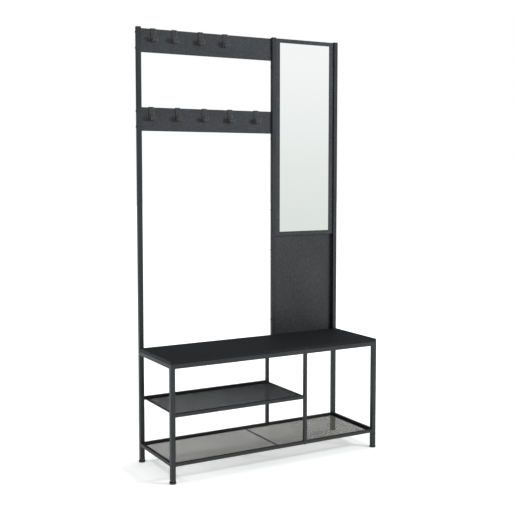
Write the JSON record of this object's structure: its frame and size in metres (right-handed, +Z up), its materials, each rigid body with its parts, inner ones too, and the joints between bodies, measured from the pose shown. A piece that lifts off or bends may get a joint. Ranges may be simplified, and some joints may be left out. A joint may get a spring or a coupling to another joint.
{
  "type": "hall tree with bench and hooks",
  "caption": "Metal hall tree: bench over mesh shoe shelves, hook boards with loose hooks on the left, tall framed mirror on the right, levelling feet.",
  "frame": {"origin": "on the floor, in the middle of the four foot pads", "axes": "+X to the viewer's right along the width, +Y from the front to the back, +Z up"},
  "size_m": [1.009, 0.344, 1.83],
  "materials": {
    "frame_coat": "charcoal fine hammered powder coat",
    "hook_coat": "charcoal satin powder coat",
    "mesh_coat": "charcoal powder coat on expanded mesh",
    "seat": "black laminated board, matte",
    "mirror": "silvered glass",
    "backing": "plain hardboard",
    "plastic": "black moulded",
    "black_steel": "black oxide bolts",
    "steel": "zinc plated"
  },
  "bodies": {
    "tree": {"front_leg_left": "frame_coat", "front_leg_right": "frame_coat", "rear_leg_left": "frame_coat", "rear_leg_right": "frame_coat", "seat_rail_front": "frame_coat", "seat_rail_rear": "frame_coat", "seat_rail_left": "frame_coat", "seat_rail_right": "frame_coat", "seat_cross_bar": "frame_coat", "low_shelf_rail_front": "frame_coat", "low_shelf_rail_rear": "frame_coat", "low_shelf_rail_left": "frame_coat", "low_shelf_rail_right": "frame_coat", "low_shelf_brace": "frame_coat", "high_shelf_rail_front": "frame_coat", "high_shelf_rail_rear": "frame_coat", "high_shelf_rims": "frame_coat", "middle_leg_front": "frame_coat", "middle_leg_rear": "frame_coat", "upright_left": "frame_coat", "upright_middle": "frame_coat", "upright_right": "frame_coat", "hook_board_upper": "frame_coat", "hook_board_lower": "frame_coat", "mirror_frame": "frame_coat", "lower_panel": "frame_coat", "low_shelf_mesh": "mesh_coat", "high_shelf_mesh": "mesh_coat", "hook_board_bolts": "black_steel", "side_bolts": "black_steel", "frame_bolts": "steel", "shelf_bolts": "black_steel", "middle_leg_bolts": "black_steel", "seat_screws": "steel", "post_plugs": "steel", "bar_plugs": "steel", "leg_inserts": "steel", "upright_connectors": "steel", "mirror_clips": "steel", "seat_board": "seat", "mirror_glass": "mirror", "mirror_backing": "backing", "post_caps": "plastic"},
    "hook_upper_1": {"hook_upper_1": "hook_coat"},
    "hook_upper_2": {"hook_upper_2": "hook_coat"},
    "hook_upper_3": {"hook_upper_3": "hook_coat"},
    "hook_upper_4": {"hook_upper_4": "hook_coat"},
    "hook_lower_1": {"hook_lower_1": "hook_coat"},
    "hook_lower_2": {"hook_lower_2": "hook_coat"},
    "hook_lower_3": {"hook_lower_3": "hook_coat"},
    "hook_lower_4": {"hook_lower_4": "hook_coat"},
    "hook_lower_5": {"hook_lower_5": "hook_coat"},
    "foot_stud_front_left": {"foot_stud_front_left": "steel"},
    "foot_pad_front_left": {"foot_pad_front_left": "plastic"},
    "foot_stud_front_right": {"foot_stud_front_right": "steel"},
    "foot_pad_front_right": {"foot_pad_front_right": "plastic"},
    "foot_stud_rear_left": {"foot_stud_rear_left": "steel"},
    "foot_pad_rear_left": {"foot_pad_rear_left": "plastic"},
    "foot_stud_rear_right": {"foot_stud_rear_right": "steel"},
    "foot_pad_rear_right": {"foot_pad_rear_right": "plastic"}
  },
  "joints": [
    {"name": "hook_upper_1_slide", "type": "slide", "parent": "tree", "child": "hook_upper_1", "axis": [1, 0, 0], "range_m": [-0.045, 0.037]},
    {"name": "hook_upper_2_slide", "type": "slide", "parent": "tree", "child": "hook_upper_2", "axis": [1, 0, 0], "range_m": [-0.037, 0.0505]},
    {"name": "hook_upper_3_slide", "type": "slide", "parent": "tree", "child": "hook_upper_3", "axis": [1, 0, 0], "range_m": [-0.0505, 0.0485]},
    {"name": "hook_upper_4_slide", "type": "slide", "parent": "tree", "child": "hook_upper_4", "axis": [1, 0, 0], "range_m": [-0.0485, 0.2]},
    {"name": "hook_lower_1_slide", "type": "slide", "parent": "tree", "child": "hook_lower_1", "axis": [1, 0, 0], "range_m": [-0.034, 0.05]},
    {"name": "hook_lower_2_slide", "type": "slide", "parent": "tree", "child": "hook_lower_2", "axis": [1, 0, 0], "range_m": [-0.05, 0.0515]},
    {"name": "hook_lower_3_slide", "type": "slide", "parent": "tree", "child": "hook_lower_3", "axis": [1, 0, 0], "range_m": [-0.0515, 0.0515]},
    {"name": "hook_lower_4_slide", "type": "slide", "parent": "tree", "child": "hook_lower_4", "axis": [1, 0, 0], "range_m": [-0.0515, 0.0545]},
    {"name": "hook_lower_5_slide", "type": "slide", "parent": "tree", "child": "hook_lower_5", "axis": [1, 0, 0], "range_m": [-0.0545, 0.067]},
    {"name": "foot_stud_front_left_rise", "type": "slide", "parent": "tree", "child": "foot_stud_front_left", "axis": [0, 0, -1], "range_m": [0, 0.01]},
    {"name": "foot_pad_front_left_turn", "type": "hinge", "parent": "foot_stud_front_left", "child": "foot_pad_front_left", "pos_m": [-0.4905, -0.158, 0.004], "axis": [0, 0, -1], "continuous": true},
    {"name": "foot_stud_front_right_rise", "type": "slide", "parent": "tree", "child": "foot_stud_front_right", "axis": [0, 0, -1], "range_m": [0, 0.01]},
    {"name": "foot_pad_front_right_turn", "type": "hinge", "parent": "foot_stud_front_right", "child": "foot_pad_front_right", "pos_m": [0.4905, -0.158, 0.004], "axis": [0, 0, -1], "continuous": true},
    {"name": "foot_stud_rear_left_rise", "type": "slide", "parent": "tree", "child": "foot_stud_rear_left", "axis": [0, 0, -1], "range_m": [0, 0.01]},
    {"name": "foot_pad_rear_left_turn", "type": "hinge", "parent": "foot_stud_rear_left", "child": "foot_pad_rear_left", "pos_m": [-0.4905, 0.158, 0.004], "axis": [0, 0, -1], "continuous": true},
    {"name": "foot_stud_rear_right_rise", "type": "slide", "parent": "tree", "child": "foot_stud_rear_right", "axis": [0, 0, -1], "range_m": [0, 0.01]},
    {"name": "foot_pad_rear_right_turn", "type": "hinge", "parent": "foot_stud_rear_right", "child": "foot_pad_rear_right", "pos_m": [0.4905, 0.158, 0.004], "axis": [0, 0, -1], "continuous": true}
  ]
}
